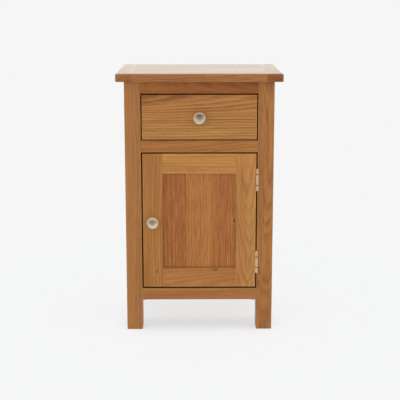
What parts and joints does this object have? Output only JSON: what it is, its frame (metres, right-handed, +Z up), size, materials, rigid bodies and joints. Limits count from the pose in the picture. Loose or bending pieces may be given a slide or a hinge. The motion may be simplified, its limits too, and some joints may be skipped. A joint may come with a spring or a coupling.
{
  "type": "storage side table",
  "caption": "Square-legged oak side table with an overhanging top, an inset drawer above a framed panel door on butt hinges, and round dished metal knobs.",
  "frame": {"origin": "on the floor, below the middle of the overall box", "axes": "+Z up; -Y towards the front, where the drawer and the door are; +X to the right seen from the front"},
  "size_m": [0.45, 0.354, 0.72],
  "materials": {
    "oak_frame": "satin lacquer",
    "oak_top": "satin lacquer",
    "oak_front": "satin lacquer",
    "oak_panel": "satin lacquer",
    "plain_wood": "sanded, thin lacquer",
    "plywood": "veneered, thin lacquer",
    "knob_metal": "satin nickel plate",
    "hinge_metal": "pale brass plate",
    "screw_steel": "zinc plate",
    "catch_plastic": "moulded",
    "catch_steel": "zinc plate",
    "magnet": "sintered ferrite"
  },
  "bodies": {
    "carcass": {"leg_front_left": "oak_frame", "leg_front_right": "oak_frame", "leg_back_left": "oak_frame", "leg_back_right": "oak_frame", "front_top_rail": "oak_frame", "drawer_rail": "oak_frame", "front_bottom_rail": "oak_frame", "side_top_rail_left": "oak_frame", "side_top_rail_right": "oak_frame", "side_bottom_rail_left": "oak_frame", "side_bottom_rail_right": "oak_frame", "back_top_rail": "oak_frame", "back_bottom_rail": "oak_frame", "top_panel": "oak_top", "top_breadboard_left": "oak_top", "top_breadboard_right": "oak_top", "side_panel_left": "oak_panel", "side_panel_right": "oak_panel", "drawer_runner_left": "plain_wood", "drawer_runner_right": "plain_wood", "drawer_kicker_left": "plain_wood", "drawer_kicker_right": "plain_wood", "drawer_stops": "plain_wood", "floor_cleat_left": "plain_wood", "floor_cleat_right": "plain_wood", "back_panel": "plywood", "cupboard_floor": "plywood", "hinge_upper_frame_leaf": "hinge_metal", "hinge_lower_frame_leaf": "hinge_metal", "hinge_upper_pin": "hinge_metal", "hinge_lower_pin": "hinge_metal", "hinge_frame_screws": "hinge_metal", "back_panel_screws": "screw_steel", "carcass_screws": "screw_steel", "top_fixing_screws": "screw_steel", "catch_screws": "screw_steel", "catch_body": "catch_plastic", "catch_pole_plates": "catch_steel", "catch_magnet": "magnet"},
    "door": {"door_stile_latch": "oak_front", "door_stile_hinge": "oak_front", "door_top_rail": "oak_front", "door_bottom_rail": "oak_front", "door_panel": "oak_panel", "door_knob": "knob_metal", "door_knob_screw": "screw_steel", "hinge_upper_door_leaf": "hinge_metal", "hinge_lower_door_leaf": "hinge_metal", "hinge_door_screws": "hinge_metal", "catch_strike_plate": "catch_steel", "strike_plate_screw": "screw_steel"},
    "drawer": {"drawer_front": "oak_front", "drawer_side_left": "plain_wood", "drawer_side_right": "plain_wood", "drawer_back": "plain_wood", "drawer_base": "plywood", "drawer_base_screws": "screw_steel", "drawer_knob": "knob_metal", "drawer_knob_screw": "screw_steel"}
  },
  "joints": [
    {"name": "door_hinge", "type": "hinge", "parent": "carcass", "child": "door", "pos_m": [0.1585, -0.1547, 0.3132], "axis": [0, 0, 1], "range_deg": [0, 175]},
    {"name": "drawer_slide", "type": "slide", "parent": "carcass", "child": "drawer", "axis": [0, -1, 0], "range_m": [0, 0.22]}
  ]
}
